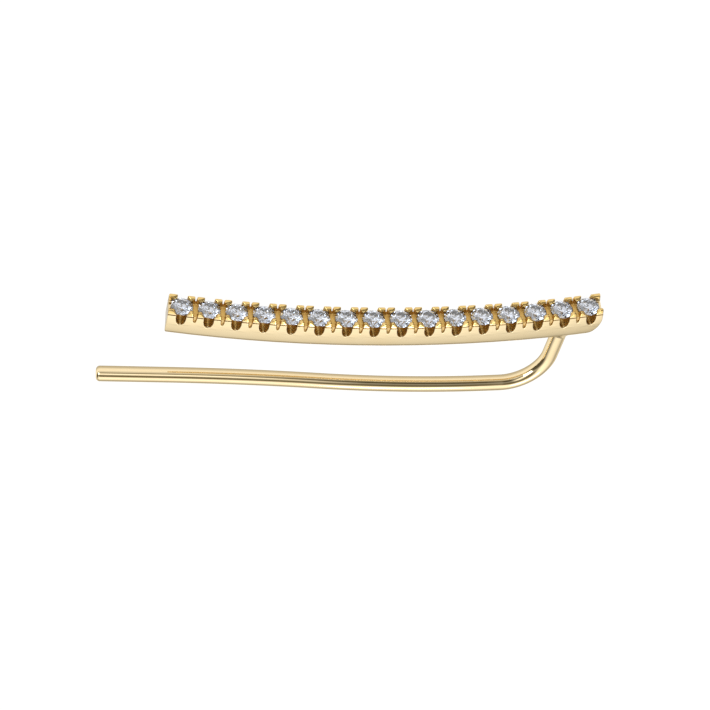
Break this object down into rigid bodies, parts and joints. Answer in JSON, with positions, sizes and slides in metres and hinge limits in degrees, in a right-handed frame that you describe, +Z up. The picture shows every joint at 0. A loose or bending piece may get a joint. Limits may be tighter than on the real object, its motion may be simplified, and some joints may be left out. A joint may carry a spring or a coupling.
{
  "type": "ear climber",
  "caption": "Ear climber: a slim bowed bar with a single row of small claw-set stones and a round wire hook that runs back behind the bar.",
  "frame": {"origin": "on the surface it lies on, under the middle of its box", "axes": "+X along the bar towards the wire's foot, +Y the way the stones face, +Z up, out of the bar's front wall"},
  "size_m": [0.0252, 0.0066, 0.0023],
  "materials": {
    "gold": "polished yellow gold",
    "stone": "colourless faceted stone"
  },
  "bodies": {
    "root": {"setting": "gold", "stone_01": "stone", "stone_02": "stone", "stone_03": "stone", "stone_04": "stone", "stone_05": "stone", "stone_06": "stone", "stone_07": "stone", "stone_08": "stone", "stone_09": "stone", "stone_10": "stone", "stone_11": "stone", "stone_12": "stone", "stone_13": "stone", "stone_14": "stone", "stone_15": "stone", "stone_16": "stone"}
  },
  "joints": []
}
